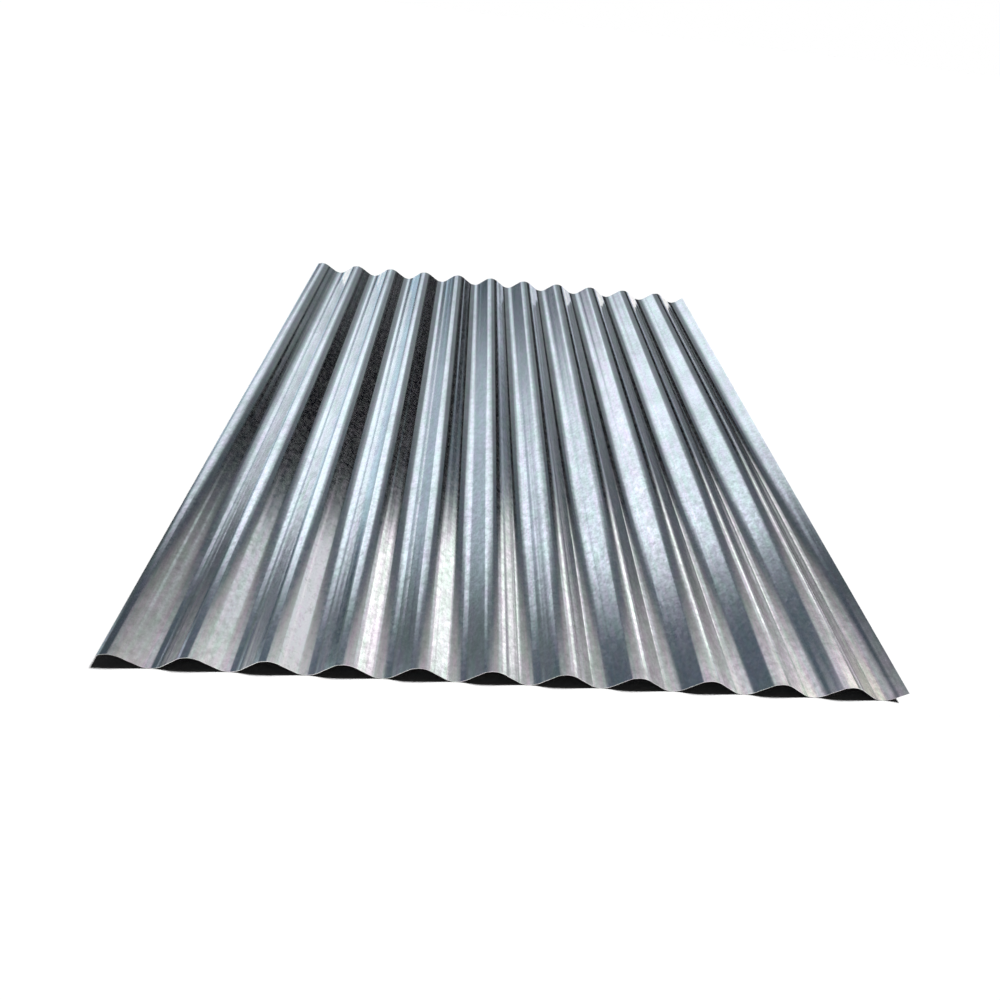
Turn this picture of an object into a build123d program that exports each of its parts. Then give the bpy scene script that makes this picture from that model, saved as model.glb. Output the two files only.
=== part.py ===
from build123d import *

import os
from math import asin, atan2, ceil, cos, floor, hypot, sin

# Corrugated roofing sheet: one flat steel strip, galvanised and then rolled across its width
# into round crests and troughs joined by straight flanks.
# X runs across the corrugations, Y along them, Z up. The sheet lies on its troughs, and the
# origin is on the ground under its middle.

# Driving sizes, in millimetres.
sheet_length = 1200.0
overall_width = 832.0
sheet_thickness = 0.5
pitch = 76.0
depth = 18.0
bend_radius = 20.0
first_crest_inset = 7.0

# The bend radius is that of the middle of the strip, the same in a crest and in a trough.
# At the largest radius the arcs would meet with no flank, so the radius stays below it.
largest_radius = (pitch**2 / 4 + depth**2) / (4 * depth)
short_flank_share = 0.97
radius = min(bend_radius, largest_radius * short_flank_share)

# A flank is the crossing tangent of two neighbouring bends' circles.
centre_rise = 2 * radius - depth
centre_distance = hypot(pitch / 2, centre_rise)
flank_slope = asin(2 * radius / centre_distance) - atan2(centre_rise, pitch / 2)

# The lowest point of the strip's underside is on the ground.
half_thickness = sheet_thickness / 2
crest_centre_height = half_thickness + depth - radius
trough_centre_height = half_thickness + radius
first_crest = first_crest_inset - overall_width / 2


def on_bend(index, turn, lift):
    """A point on a bend, turned from its middle, on the face that is lift above the strip's middle.

    Bend 0 is the first crest, odd bends are troughs, and negative ones lie to its left.
    """
    across = first_crest + index * pitch / 2
    if index % 2 == 0:
        reach = radius + lift
        return across + reach * sin(turn), crest_centre_height + reach * cos(turn)
    reach = radius - lift
    return across + reach * sin(turn), trough_centre_height - reach * cos(turn)


def strip_face(first, last, lift):
    """The arcs and flanks of one face of the strip, from the first bend to the last."""
    edges = []
    for index in range(first, last + 1):
        start, middle, end = (on_bend(index, turn, lift) for turn in (-flank_slope, 0, flank_slope))
        edges.append(ThreePointArc(start, middle, end))
        if index < last:
            edges.append(Line(end, on_bend(index + 1, -flank_slope, lift)))
    return edges


def strip_profile():
    """The rolled strip in cross-section, slit to the overall width."""
    first = floor(-first_crest_inset / (pitch / 2)) - 1
    last = ceil((overall_width - first_crest_inset) / (pitch / 2)) + 1
    edges = strip_face(first, last, half_thickness) + strip_face(first, last, -half_thickness)
    for index, turn in ((first, -flank_slope), (last, flank_slope)):
        edges.append(Line(on_bend(index, turn, half_thickness), on_bend(index, turn, -half_thickness)))
    slit_width = Rectangle(overall_width, 4 * depth)
    return make_face(edges) & slit_width


def corrugated_sheet():
    """The strip's cross-section run along the corrugations, half of the length each way."""
    return extrude(Plane.XZ * strip_profile(), sheet_length / 2, both=True)


os.makedirs("parts", exist_ok=True)
export_step(corrugated_sheet(), "parts/corrugated_sheet.step")
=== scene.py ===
from math import asin, atan2, hypot, pi, radians

import bpy
from mathutils import Matrix, Vector


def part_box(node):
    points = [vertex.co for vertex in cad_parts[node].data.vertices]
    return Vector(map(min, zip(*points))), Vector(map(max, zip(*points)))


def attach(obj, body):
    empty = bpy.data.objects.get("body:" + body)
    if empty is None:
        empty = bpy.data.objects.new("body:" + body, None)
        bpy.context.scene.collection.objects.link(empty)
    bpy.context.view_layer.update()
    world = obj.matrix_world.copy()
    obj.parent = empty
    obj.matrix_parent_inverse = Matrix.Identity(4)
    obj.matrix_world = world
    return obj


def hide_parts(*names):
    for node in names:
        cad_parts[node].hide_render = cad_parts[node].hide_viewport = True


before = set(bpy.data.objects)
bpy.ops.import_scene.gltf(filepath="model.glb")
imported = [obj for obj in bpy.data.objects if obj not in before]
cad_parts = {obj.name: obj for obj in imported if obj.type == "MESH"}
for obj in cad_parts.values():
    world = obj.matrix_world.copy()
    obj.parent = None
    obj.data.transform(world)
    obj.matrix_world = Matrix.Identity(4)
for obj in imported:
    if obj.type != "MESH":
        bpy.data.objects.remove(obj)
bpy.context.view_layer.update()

# The corrugated sheet. One strip of thin steel, dipped in molten zinc and then rolled across
# its width into round crests and troughs joined by straight flanks. It is slit to width at
# both sides and cut square at both ends. It lies loose on its troughs.
pitch = 0.076
depth = 0.018
bend_radius = 0.020
sheet_thickness = 0.0005
first_crest_inset = 0.007
low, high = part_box("corrugated_sheet")
sheet_width = high.x - low.x
sheet_length = high.y - low.y

# The section's faces lean a little at the slit borders, so its middle line is this much narrower.
border_room = 0.0003

# A loose sheet springs back unevenly: its corrugations crowd by up to 3 mm, in one slow wave. The
# lag is a share of that wave, and the middle is a share of the crowding.
crowding = 0.00225
crowding_wavelength = 12 * pitch
crowding_lag = 0.05
crowding_middle = 0.31

# Edges sharper than this stay crisp, and the others are shaded smooth.
crisp_corner = radians(40)

# Points nearer than this are one point, where the upper face meets the underside.
weld_distance = 0.00001

# A flank is the crossing tangent of the circles of two neighbouring bends.
centre_rise = 2 * bend_radius - depth
centre_distance = hypot(pitch / 2, centre_rise)
flank_slope = asin(2 * bend_radius / centre_distance) - atan2(centre_rise, pitch / 2)


class Tree:
    """Adds nodes to a node tree from left to right, with their inputs given by name or order."""

    def __init__(self, tree):
        self.tree = tree
        self.column = 0

    def add(self, kind, inputs=None, **settings):
        node = self.tree.nodes.new(kind)
        self.column += 1
        node.location = (180 * (self.column % 12), -260 * (self.column // 12))
        for name, value in settings.items():
            setattr(node, name, value)
        for key, value in (inputs or {}).items():
            socket = node.inputs[key]
            if isinstance(value, bpy.types.NodeSocket):
                self.tree.links.new(value, socket)
            else:
                socket.default_value = value
        return node

    def maths(self, operation, *values):
        return self.add("ShaderNodeMath", dict(enumerate(values)), operation=operation).outputs[0]


def roll_forming_tree():
    """A flat grid rolled to the corrugated section, then given its thickness."""
    group = bpy.data.node_groups.new("roll_forming", "GeometryNodeTree")
    face = group.interface
    sizes = {
        "Width": sheet_width - border_room,
        "Length": sheet_length,
        "Thickness": sheet_thickness,
        "Pitch": pitch,
        "Depth": depth,
        "Bend radius": bend_radius,
        "Flank slope": flank_slope,
        "First crest": low.x + first_crest_inset,
        "Roller line height": 0.00006,
        "Crowding": crowding,
        "Crowding wavelength": crowding_wavelength,
        "Crowding lag": crowding_lag,
        "Crowding middle": crowding_middle,
        "Waviness": 0.0007,
        "Relief room": 0.00034,
    }
    for name, value in sizes.items():
        face.new_socket(name, in_out="INPUT", socket_type="NodeSocketFloat").default_value = value
    for name, value in {"Columns": 1100, "Rows": 36}.items():
        face.new_socket(name, in_out="INPUT", socket_type="NodeSocketInt").default_value = value
    face.new_socket("Material", in_out="INPUT", socket_type="NodeSocketMaterial")
    face.new_socket("Geometry", in_out="OUTPUT", socket_type="NodeSocketGeometry")

    tree = Tree(group)
    size = tree.add("NodeGroupInput").outputs
    grid = tree.add("GeometryNodeMeshGrid", {
        "Size X": size["Width"],
        "Size Y": size["Length"],
        "Vertices X": size["Columns"],
        "Vertices Y": size["Rows"],
    }).outputs["Mesh"]

    # Distance across the sheet to the nearest crest, then to the nearest trough.
    place = tree.add("ShaderNodeSeparateXYZ", {0: tree.add("GeometryNodeInputPosition").outputs[0]})
    across, along = place.outputs["X"], place.outputs["Y"]
    half_pitch = tree.maths("MULTIPLY", size["Pitch"], 0.5)
    from_first = tree.maths("SUBTRACT", across, size["First crest"])

    # The crowding moves the corrugations off their even places.
    waves_along = tree.maths("DIVIDE", from_first, size["Crowding wavelength"])
    off_phase = tree.maths("SUBTRACT", waves_along, size["Crowding lag"])
    swing = tree.maths("COSINE", tree.maths("MULTIPLY", off_phase, 2 * pi))
    swing = tree.maths("ADD", swing, size["Crowding middle"])
    from_first = tree.maths("SUBTRACT", from_first, tree.maths("MULTIPLY", swing, size["Crowding"]))
    from_crest = tree.maths("WRAP", from_first, half_pitch, tree.maths("MULTIPLY", half_pitch, -1.0))
    off_crest = tree.maths("ABSOLUTE", from_crest)
    off_trough = tree.maths("SUBTRACT", half_pitch, off_crest)

    # The height of the strip's middle on a crest, on a trough and on the flank between them.
    radius = size["Bend radius"]
    radius_squared = tree.maths("MULTIPLY", radius, radius)

    def bow(offset):
        left = tree.maths("SUBTRACT", radius_squared, tree.maths("MULTIPLY", offset, offset))
        return tree.maths("SQRT", tree.maths("MAXIMUM", left, 0.0))

    half_thickness = tree.maths("MULTIPLY", size["Thickness"], 0.5)
    crest_centre = tree.maths("SUBTRACT", tree.maths("ADD", half_thickness, size["Depth"]), radius)
    trough_centre = tree.maths("ADD", half_thickness, radius)
    crest_height = tree.maths("ADD", crest_centre, bow(off_crest))
    trough_height = tree.maths("SUBTRACT", trough_centre, bow(off_trough))
    bend_reach = tree.maths("MULTIPLY", radius, tree.maths("SINE", size["Flank slope"]))
    bend_drop = tree.maths("MULTIPLY", radius, tree.maths("COSINE", size["Flank slope"]))
    fall = tree.maths("MULTIPLY", tree.maths("SUBTRACT", off_crest, bend_reach),
                      tree.maths("TANGENT", size["Flank slope"]))
    flank_height = tree.maths("SUBTRACT", tree.maths("ADD", crest_centre, bend_drop), fall)

    def choose(condition, if_true, if_false):
        mix = tree.add("ShaderNodeMix", {0: condition, 2: if_false, 3: if_true}, data_type="FLOAT")
        return mix.outputs[0]

    on_crest = tree.maths("LESS_THAN", off_crest, bend_reach)
    on_trough = tree.maths("LESS_THAN", off_trough, bend_reach)
    height = choose(on_crest, crest_height, choose(on_trough, trough_height, flank_height))

    # The rollers leave faint lines along the sheet, nearly the same on each corrugation.
    turn = tree.maths("DIVIDE", tree.maths("MULTIPLY", from_crest, 2 * pi), size["Pitch"])
    lines = None
    for count, lag, share in ((7, 0.4, 1.0), (11, 2.1, 0.5), (17, 1.0, 0.25)):
        wave = tree.maths("SINE", tree.maths("ADD", tree.maths("MULTIPLY", turn, float(count)), lag))
        wave = tree.maths("MULTIPLY", wave, share)
        lines = wave if lines is None else tree.maths("ADD", lines, wave)
    drift_place = tree.add("ShaderNodeCombineXYZ", {
        "X": tree.maths("MULTIPLY", across, 90.0),
        "Y": tree.maths("MULTIPLY", along, 0.8),
    }).outputs[0]
    drift = tree.add("ShaderNodeTexNoise", {"Vector": drift_place, "Scale": 1.0, "Detail": 2.0})
    drift = tree.maths("MULTIPLY", tree.maths("SUBTRACT", drift.outputs[0], 0.5), 4.0)
    lines = tree.maths("MULTIPLY", tree.maths("ADD", lines, drift), size["Roller line height"])

    # Thin sheet never lies quite true: a slow waviness along the corrugations.
    wavy_place = tree.add("ShaderNodeCombineXYZ", {
        "X": tree.maths("MULTIPLY", across, 18.0),
        "Y": tree.maths("MULTIPLY", along, 3.0),
        "Z": 4.0,
    }).outputs[0]
    wavy = tree.add("ShaderNodeTexNoise", {"Vector": wavy_place, "Scale": 1.0, "Detail": 1.0})
    wavy = tree.maths("MULTIPLY", tree.maths("SUBTRACT", wavy.outputs[0], 0.5), size["Waviness"])

    # The relief stays within the rolled depth, so the section gives up the room for it.
    room = size["Relief room"]
    given_up = tree.maths("DIVIDE", tree.maths("MULTIPLY", room, 2.0), size["Depth"])
    height = tree.maths("MULTIPLY", tree.maths("SUBTRACT", height, half_thickness),
                        tree.maths("SUBTRACT", 1.0, given_up))
    height = tree.maths("ADD", height, tree.maths("ADD", half_thickness, room))
    height = tree.maths("ADD", height, tree.maths("ADD", lines, wavy))
    rolled = tree.add("GeometryNodeSetPosition", {
        "Geometry": grid,
        "Position": tree.add("ShaderNodeCombineXYZ", {"X": across, "Y": along, "Z": height}).outputs[0],
    }).outputs[0]

    # The underside is half the thickness below the middle, and the upper face is raised from it.
    normal = tree.add("GeometryNodeInputNormal").outputs[0]
    down = tree.add("ShaderNodeVectorMath", {
        0: normal,
        "Scale": tree.maths("MULTIPLY", half_thickness, -1.0),
    }, operation="SCALE").outputs[0]
    underside = tree.add("GeometryNodeSetPosition", {"Geometry": rolled, "Offset": down}).outputs[0]
    raised = tree.add("GeometryNodeExtrudeMesh", {
        "Mesh": underside,
        "Offset": normal,
        "Offset Scale": size["Thickness"],
        "Individual": False,
    }, mode="FACES").outputs["Mesh"]
    turned = tree.add("GeometryNodeFlipFaces", {"Mesh": underside}).outputs[0]
    both = tree.add("GeometryNodeJoinGeometry")
    group.links.new(raised, both.inputs[0])
    group.links.new(turned, both.inputs[0])
    closed = tree.add("GeometryNodeMergeByDistance", {
        "Geometry": both.outputs[0],
        "Distance": weld_distance,
    })
    smooth = tree.add("GeometryNodeSetShadeSmooth", {"Geometry": closed.outputs[0]}, domain="FACE")
    corner = tree.add("GeometryNodeInputMeshEdgeAngle").outputs["Unsigned Angle"]
    cut = tree.add("GeometryNodeSetShadeSmooth", {
        "Geometry": smooth.outputs[0],
        "Selection": tree.maths("GREATER_THAN", corner, crisp_corner),
        "Shade Smooth": False,
    }, domain="EDGE")
    real = tree.add("GeometryNodeRealizeInstances", {"Geometry": cut.outputs[0]})
    coated = tree.add("GeometryNodeSetMaterial", {"Geometry": real.outputs[0], "Material": size["Material"]})
    tree.add("NodeGroupOutput", {"Geometry": coated.outputs[0]})
    return group


def zinc_material():
    """Bright zinc with a fine spangle, faint lines from the rollers and dull patches."""
    material = bpy.data.materials.new("bright_zinc")
    material.use_nodes = True
    nodes = material.node_tree.nodes
    nodes.clear()
    tree = Tree(material.node_tree)
    place = tree.add("ShaderNodeTexCoord").outputs["Object"]

    def noise(scales, detail, roughness=0.5, shift=0.0):
        stretched = tree.add("ShaderNodeMapping", {
            "Vector": place,
            "Scale": scales,
            "Location": (shift, shift, 0),
        })
        texture = tree.add("ShaderNodeTexNoise", {
            "Vector": stretched.outputs[0],
            "Scale": 1.0,
            "Detail": detail,
            "Roughness": roughness,
        })
        return texture.outputs[0]

    def remap(value, low_in, high_in, low_out, high_out):
        node = tree.add("ShaderNodeMapRange", {
            "Value": value,
            "From Min": low_in,
            "From Max": high_in,
            "To Min": low_out,
            "To Max": high_out,
        })
        return node.outputs[0]

    # Zinc crystals some millimetres wide, each with its own tone and sheen.
    crystal_size = 0.004
    wander = tree.add("ShaderNodeTexNoise", {"Vector": place, "Scale": 200.0, "Detail": 2.0})
    pull = tree.add("ShaderNodeVectorMath", {
        0: wander.outputs["Color"],
        "Scale": 0.003,
    }, operation="SCALE").outputs[0]
    bent = tree.add("ShaderNodeVectorMath", {0: place, 1: pull}, operation="ADD").outputs[0]
    crystals = tree.add("ShaderNodeTexVoronoi", {"Vector": bent, "Scale": 1 / crystal_size})
    of_crystal = tree.add("ShaderNodeSeparateColor", {"Color": crystals.outputs["Color"]}).outputs
    sheen, tone = of_crystal[1], of_crystal[2]

    patches = noise((26.0, 9.0, 26.0), 5.0, 0.7)
    mottle = noise((150.0, 110.0, 150.0), 4.0, 0.75, 3.0)
    tint = noise((100.0, 24.0, 100.0), 4.0, 0.65, 7.0)
    streaks = noise((500.0, 2.5, 500.0), 3.0, 0.6)

    # Base colour: grey zinc, mottled, with pale green and lilac tints.
    hue = tree.add("ShaderNodeMix", {
        0: remap(tint, 0.35, 0.65, 0.0, 1.0),
        6: (0.78, 0.85, 0.79, 1),
        7: (0.90, 0.81, 0.88, 1),
    }, data_type="RGBA").outputs[2]
    spot = tree.add("ShaderNodeSeparateXYZ", {0: place}).outputs
    by_near_end = remap(spot["Y"], 0.1, -0.35, 0.0, 1.0)
    fleck = remap(mottle, 0.32, 0.68, 0.20, -0.25)
    fleck = tree.maths("MULTIPLY", fleck, remap(by_near_end, 0.0, 1.0, 0.25, 1.0))
    value = tree.maths("MULTIPLY", tree.maths("ADD", fleck, 1.0), remap(tone, 0.0, 1.0, 0.95, 1.05))
    value = tree.maths("MULTIPLY", value, remap(patches, 0.35, 0.68, 1.10, 0.86))

    # The zinc is darker at both borders towards the near end, and brightest a little way in on the left,
    # where the lighter colour is a painted highlight.
    by_border = remap(tree.maths("ABSOLUTE", spot["X"]), 0.34, 0.40, 0.0, 1.0)
    darker = remap(tree.maths("MULTIPLY", by_border, by_near_end), 0.0, 1.0, 1.0, 0.66)
    value = tree.maths("MULTIPLY", value, darker)
    # Painted highlight: the base colour is up to a fifth lighter, peaking a little way in on the left.
    painted_highlight_mask = tree.maths("SUBTRACT", 1.0, tree.maths("ABSOLUTE", remap(spot["X"], -0.36, -0.12, -1.0, 1.0)))
    value = tree.maths("MULTIPLY", value, remap(painted_highlight_mask, 0.0, 1.0, 1.0, 1.20))
    zinc = tree.add("ShaderNodeVectorMath", {0: hue, "Scale": value}, operation="SCALE").outputs[0]

    roughness = tree.maths("ADD", remap(sheen, 0.0, 1.0, 0.08, 0.12), remap(patches, 0.4, 0.7, 0.0, 0.04))
    roughness = tree.maths("ADD", roughness, remap(mottle, 0.3, 0.7, 0.0, 0.05))

    # Dull flecks, where the zinc has weathered a little and scatters light instead of mirroring it.
    dull = tree.maths("ADD", remap(mottle, 0.42, 0.72, 0.0, 0.030), remap(patches, 0.4, 0.7, 0.0, 0.004))
    metallic = tree.maths("SUBTRACT", 1.0, dull)

    # The surface rolls gently along the sheet from spot to spot, and hardly at all across it.
    ripple = noise((300.0, 60.0, 300.0), 3.0, 0.6, 11.0)
    spread = tree.add("ShaderNodeCombineXYZ", {
        "X": remap(sheen, 0.0, 1.0, -0.002, 0.002),
        "Y": tree.maths("ADD", remap(ripple, 0.3, 0.7, -0.003, 0.003), remap(tone, 0.0, 1.0, -0.002, 0.002)),
    }).outputs[0]
    face_normal = tree.add("ShaderNodeNewGeometry").outputs["Normal"]
    leaning = tree.add("ShaderNodeVectorMath", {0: face_normal, 1: spread}, operation="ADD").outputs[0]
    leaning = tree.add("ShaderNodeVectorMath", {0: leaning}, operation="NORMALIZE").outputs[0]
    bump = tree.add("ShaderNodeBump", {
        "Height": streaks,
        "Strength": 0.5,
        "Distance": 0.00005,
        "Normal": leaning,
    }).outputs[0]

    shader = tree.add("ShaderNodeBsdfPrincipled", {
        "Base Color": zinc,
        "Metallic": metallic,
        "Roughness": roughness,
        "Normal": bump,
    })
    tree.add("ShaderNodeOutputMaterial", {"Surface": shader.outputs[0]})
    return material


carrier = bpy.data.objects.new("sheet_carrier", bpy.data.meshes.new("sheet_carrier"))
bpy.context.scene.collection.objects.link(carrier)
rolling = carrier.modifiers.new("rolling", "NODES")
rolling.node_group = roll_forming_tree()
for item in rolling.node_group.interface.items_tree:
    if item.name == "Material":
        rolling[item.identifier] = zinc_material()
ready = carrier.evaluated_get(bpy.context.evaluated_depsgraph_get())
sheet = bpy.data.objects.new("rolled_sheet", bpy.data.meshes.new_from_object(ready))
bpy.context.scene.collection.objects.link(sheet)
bpy.data.objects.remove(carrier)
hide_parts("corrugated_sheet")
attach(sheet, "root")

# The floor. A wide white studio floor, matt, level under the troughs. It isn't part of the
# sheet, and keeps the sheet's soft shadow.
floor_reach = 12.0
corners = [(-floor_reach, -floor_reach, 0), (floor_reach, -floor_reach, 0),
           (floor_reach, floor_reach, 0), (-floor_reach, floor_reach, 0)]
floor_mesh = bpy.data.meshes.new("studio_floor")
floor_mesh.from_pydata(corners, [], [(0, 1, 2, 3)])
floor = bpy.data.objects.new("studio_floor", floor_mesh)
bpy.context.scene.collection.objects.link(floor)
floor_paint = bpy.data.materials.new("white_floor")
floor_paint.use_nodes = True
floor_paint.node_tree.nodes.clear()
paint = Tree(floor_paint.node_tree)
# The floor is white where it is seen directly, but near black to light that has already bounced off a matt
# surface, so it lights no hollow under the sheet: painted shade there.
bounced = paint.maths("GREATER_THAN", paint.add("ShaderNodeLightPath").outputs["Diffuse Depth"], 0.5)
white_or_dim = paint.add("ShaderNodeMix", {0: bounced, 6: (0.95, 0.95, 0.95, 1), 7: (0.02, 0.02, 0.02, 1)},
                         data_type="RGBA").outputs[2]
matt = paint.add("ShaderNodeBsdfDiffuse", {"Color": white_or_dim})
paint.add("ShaderNodeOutputMaterial", {"Surface": matt.outputs[0]})
floor_mesh.materials.append(floor_paint)

# The studio light. A soft lamp hangs high on the right and a little behind the sheet, so the
# hollows under its near end stay dark. The metal mirrors the studio around it, not this lamp.
key = bpy.data.lights.new("overhead_softbox", "SUN")
key.energy = 3.95
key.angle = radians(8)
key_object = bpy.data.objects.new("overhead_softbox", key)
key_object.rotation_euler = (radians(-8), radians(30), 0)
key_object.visible_glossy = False
bpy.context.scene.collection.objects.link(key_object)

# The studio surroundings that the metal mirrors. They are laid out by two numbers: lean, the
# angle from straight up, to the left below zero and to the right above it, and forward, how far
# along the corrugations, either way, from 0 across to 1 straight along. The camera sees white.
world = bpy.data.worlds.new("studio")
bpy.context.scene.world = world
world.use_nodes = True
world.node_tree.nodes.clear()
studio = Tree(world.node_tree)
aim = studio.add("ShaderNodeSeparateXYZ", {0: studio.add("ShaderNodeTexCoord").outputs["Generated"]})
lean = studio.maths("DEGREES", studio.maths("ARCTAN2", aim.outputs["X"], aim.outputs["Z"]))
forward = studio.maths("ABSOLUTE", aim.outputs["Y"])


def rise_through(value, middle, soft):
    """0 below the middle and 1 above it, changing over soft."""
    return studio.add("ShaderNodeMapRange", {
        "Value": value,
        "From Min": middle - soft / 2,
        "From Max": middle + soft / 2,
    }, interpolation_type="SMOOTHSTEP").outputs[0]


def right_of(start, end, soft):
    """1 to the right of the line through two points, each a lean and a forward."""
    slant = (end[0] - start[0]) / (end[1] - start[1])
    moved = studio.maths("MULTIPLY", studio.maths("SUBTRACT", forward, start[1]), slant)
    return rise_through(studio.maths("SUBTRACT", lean, moved), start[0], soft)


def left_of(start, end, soft):
    """1 to the left of the line through two points."""
    return studio.maths("SUBTRACT", 1.0, right_of(start, end, soft))


def ahead_of(edge, soft):
    """1 where forward is past the edge."""
    return rise_through(forward, edge, soft)


def short_of(edge, soft):
    """1 where forward is before the edge."""
    return studio.maths("SUBTRACT", 1.0, ahead_of(edge, soft))


def lay(under, colour, *edges):
    """Lays a panel of one colour over what is there, inside all of its edges."""
    cover = edges[0]
    for edge in edges[1:]:
        cover = studio.maths("MULTIPLY", cover, edge)
    return studio.add("ShaderNodeMix", {0: cover, 6: under, 7: (*colour, 1)}, data_type="RGBA").outputs[2]


# Pale ground underfoot, cream where it is nearest, falling away on the left.
light = lay((0.69, 0.69, 0.73, 1), (1.22, 1.18, 1.06), right_of((18, 0.6), (18, 0.7), 16),
            left_of((66, 0.6), (66, 0.7), 6), short_of(0.610, 0.02))
light = lay(light, (0.26, 0.26, 0.24), right_of((67, 0.6), (67, 0.7), 3), left_of((80, 0.6), (80, 0.7), 10),
            short_of(0.625, 0.04))
light = lay(light, (0.88, 0.88, 0.88), right_of((43, 0.6), (43, 0.7), 4), left_of((62, 0.6), (62, 0.7), 6),
            ahead_of(0.604, 0.01))
light = lay(light, (0.47, 0.48, 0.48), left_of((68, 0.6), (68, 0.7), 3), ahead_of(0.653, 0.03))
light = lay(light, (0.32, 0.33, 0.33), left_of((12, 0.66), (60, 0.76), 40), ahead_of(0.680, 0.05))
light = lay(light, (0.08, 0.11, 0.14), left_of((-26, 0.6), (-16, 0.7), 22), short_of(0.73, 0.08))

# A band of slate-grey shade runs up to the right, and a pale wall stands above it.
light = lay(light, (0.085, 0.11, 0.135), left_of((-12, 0.685), (60, 0.795), 34), ahead_of(0.70, 0.06))
wall = left_of((-36, 0.745), (24, 0.85), 34)
light = lay(light, (0.09, 0.115, 0.13), wall, ahead_of(0.77, 0.06))
light = lay(light, (1.04, 1.17, 1.25), wall, left_of((-5, 0.8), (-5, 0.9), 58), ahead_of(0.755, 0.08))
light = lay(light, (0.20, 0.24, 0.26), right_of((-6, 0.8), (-6, 0.9), 40), left_of((40, 0.8), (40, 0.9), 10),
            ahead_of(0.870, 0.07))
light = lay(light, (0.60, 0.72, 0.80), left_of((-10, 0.8), (-10, 0.9), 30), ahead_of(0.935, 0.05))

# A brighter blue panel on the left of the wall, darker above its slanted top edge.
light = lay(light, (1.04, 1.19, 1.29), left_of((-28, 0.8), (-28, 0.9), 8), ahead_of(0.750, 0.11))
light = lay(light, (0.08, 0.10, 0.13), left_of((-36, 0.945), (-60, 0.880), 36), ahead_of(0.87, 0.05))

# The gap to its left, then a narrow blue panel with slate-grey ground under it.
gap = left_of((-58, 0.8), (-58, 0.9), 6)
side_panel = left_of((-76, 0.8), (-76, 0.9), 4)
light = lay(light, (0.12, 0.15, 0.16), gap, short_of(0.800, 0.05))
light = lay(light, (0.48, 0.58, 0.66), gap, ahead_of(0.765, 0.08))
light = lay(light, (0.03, 0.05, 0.06), gap, ahead_of(0.925, 0.06))
light = lay(light, (0.50, 0.60, 0.68), left_of((-64, 0.8), (-64, 0.9), 10), short_of(0.656, 0.03))
light = lay(light, (0.04, 0.06, 0.08), side_panel, ahead_of(0.672, 0.03))
light = lay(light, (0.08, 0.13, 0.17), side_panel, ahead_of(0.765, 0.04))
light = lay(light, (0.57, 0.76, 0.89), side_panel, ahead_of(0.80, 0.04))
light = lay(light, (0.42, 0.60, 0.73), side_panel, ahead_of(0.935, 0.03))

# The dark wall on the right with a dim cream strip beside it, and the grey side beyond it.
light = lay(light, (0.32, 0.38, 0.44), right_of((76, 0.8), (76, 0.9), 8), ahead_of(0.80, 0.05))
light = lay(light, (0.68, 0.78, 0.90), right_of((73, 0.8), (73, 0.9), 8), ahead_of(0.92, 0.07))
light = lay(light, (0.24, 0.24, 0.22), right_of((33, 0.8), (33, 0.9), 2), left_of((36, 0.8), (36, 0.9), 2),
            ahead_of(0.875, 0.04))
light = lay(light, (0.0, 0.0, 0.002), right_of((45, 0.94), (31, 0.81), 8),
            left_of((74, 0.95), (60, 0.80), 8), ahead_of(0.80, 0.05))
light = lay(light, (0.045, 0.05, 0.055), right_of((43, 0.8), (43, 0.9), 4), left_of((56, 0.8), (56, 0.9), 8),
            ahead_of(0.920, 0.04))

# The bright lamp panel low on the right, with dimmer ground on both sides of it.
lamp_foot = ahead_of(0.668, 0.03)
lamp_top = right_of((46, 0.778), (74, 0.812), 26)
light = lay(light, (0.36, 0.38, 0.41), right_of((76, 0.67), (76, 0.82), 4), lamp_foot, short_of(0.80, 0.06))
light = lay(light, (0.70, 0.73, 0.76), right_of((43, 0.67), (43, 0.80), 4), left_of((76, 0.6), (76, 0.9), 4),
            lamp_top, lamp_foot)
light = lay(light, (1.42, 1.42, 1.40), right_of((60, 0.67), (60, 0.80), 4), left_of((76, 0.6), (76, 0.9), 4),
            lamp_top, lamp_foot)

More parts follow.
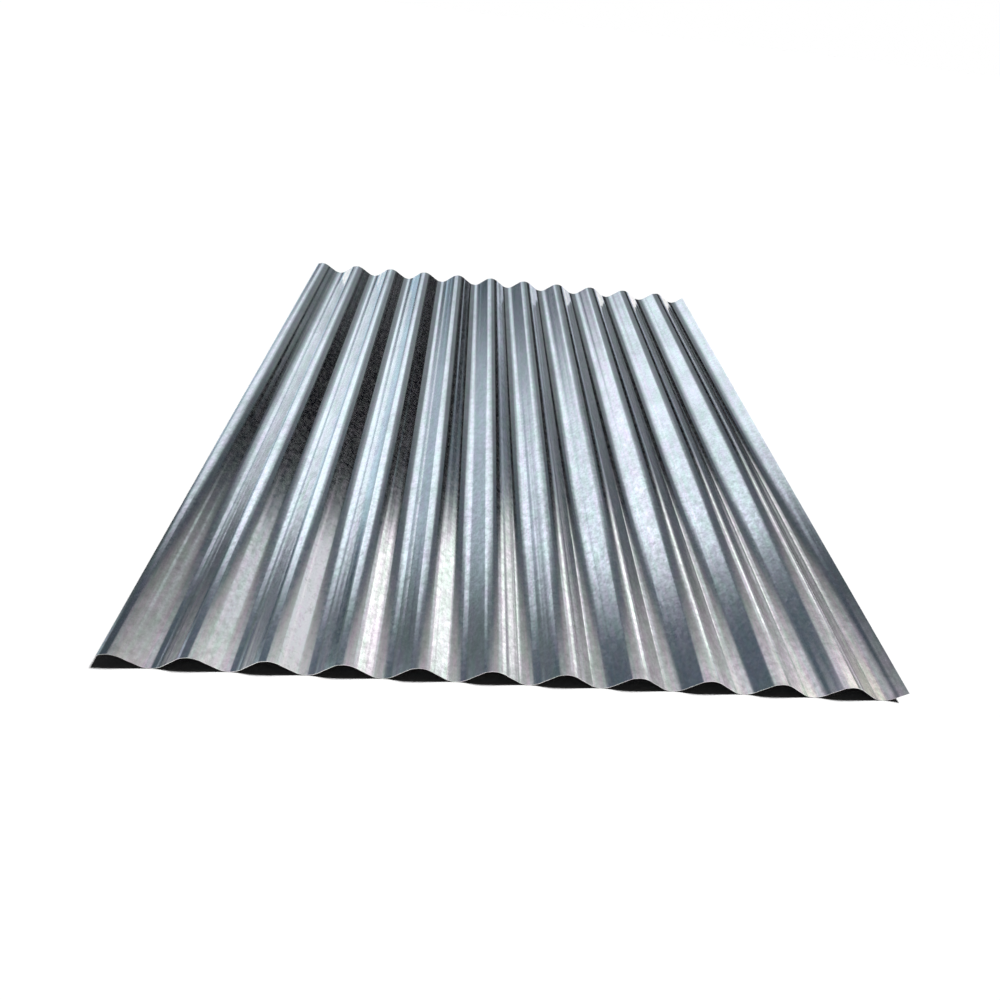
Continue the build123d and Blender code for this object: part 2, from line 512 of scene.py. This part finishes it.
# The panels and walls are uneven from side to side, which draws streaks along the metal.
uneven = studio.add("ShaderNodeTexNoise", {
    "W": studio.maths("MULTIPLY", lean, 0.22),
    "Detail": 4.0,
    "Scale": 1.0,
    "Roughness": 0.7,
}, noise_dimensions="1D").outputs[0]
brighter = studio.add("ShaderNodeMapRange", {
    "Value": uneven,
    "From Min": 0.3,
    "From Max": 0.7,
    "To Min": 0.72,
    "To Max": 1.03,
}).outputs[0]
warmer = studio.add("ShaderNodeTexNoise", {
    "W": studio.maths("MULTIPLY", lean, 0.08),
    "Detail": 1.0,
    "Scale": 1.0,
}, noise_dimensions="1D").outputs[0]
warmer = studio.add("ShaderNodeMapRange", {"Value": warmer, "From Min": 0.35, "From Max": 0.65}).outputs[0]
cast = studio.add("ShaderNodeMix", {0: warmer, 6: (0.93, 1.03, 1.02, 1), 7: (1.07, 0.99, 1.04, 1)},
                  data_type="RGBA").outputs[2]
light = studio.add("ShaderNodeVectorMath", {0: light, 1: cast}, operation="MULTIPLY").outputs[0]
light = studio.add("ShaderNodeVectorMath", {0: light, "Scale": brighter}, operation="SCALE").outputs[0]

# The metal mirrors the panels, but light that has already met the matt floor finds a dim room,
# which keeps the hollows under the sheet dark.
path = studio.add("ShaderNodeLightPath").outputs
after_floor = studio.maths("GREATER_THAN", path["Diffuse Depth"], 0.5)
dim_room = (0.012, 0.012, 0.012, 1)
mirrored = studio.add("ShaderNodeMix", {0: after_floor, 6: light, 7: dim_room}, data_type="RGBA").outputs[2]
seen = studio.add("ShaderNodeMix", {0: path["Is Camera Ray"], 6: mirrored, 7: (1, 1, 1, 1)},
                  data_type="RGBA").outputs[2]
backdrop = studio.add("ShaderNodeBackground", {"Color": seen, "Strength": 1.0})
studio.add("ShaderNodeOutputWorld", {"Surface": backdrop.outputs[0]})

# The camera. It looks down on the near end from a little left of the sheet's middle, turned
# slightly to the right and tipped, with the photograph's wide lens.
camera_place = Vector((-0.0763, -1.1148, 0.5750))
camera_pitch = 38.405
camera_yaw = 6.452
camera_roll = 7.372
focal_pixels = 742.3
optical_centre = (520, 560)
image_size = 1000
camera = bpy.data.cameras.new("camera")
camera.sensor_width = 36.0
camera.lens = focal_pixels / image_size * camera.sensor_width
camera.shift_x = (image_size / 2 - optical_centre[0]) / image_size
camera.shift_y = (optical_centre[1] - image_size / 2) / image_size
camera_object = bpy.data.objects.new("camera", camera)
turned = Matrix.Rotation(radians(-camera_yaw), 4, "Z")
tipped = Matrix.Rotation(radians(90 - camera_pitch), 4, "X")
rolled = Matrix.Rotation(radians(camera_roll), 4, "Z")
camera_object.matrix_world = Matrix.Translation(camera_place) @ turned @ tipped @ rolled
bpy.context.scene.collection.objects.link(camera_object)
bpy.context.scene.camera = camera_object
bpy.context.scene.view_settings.view_transform = "Standard"
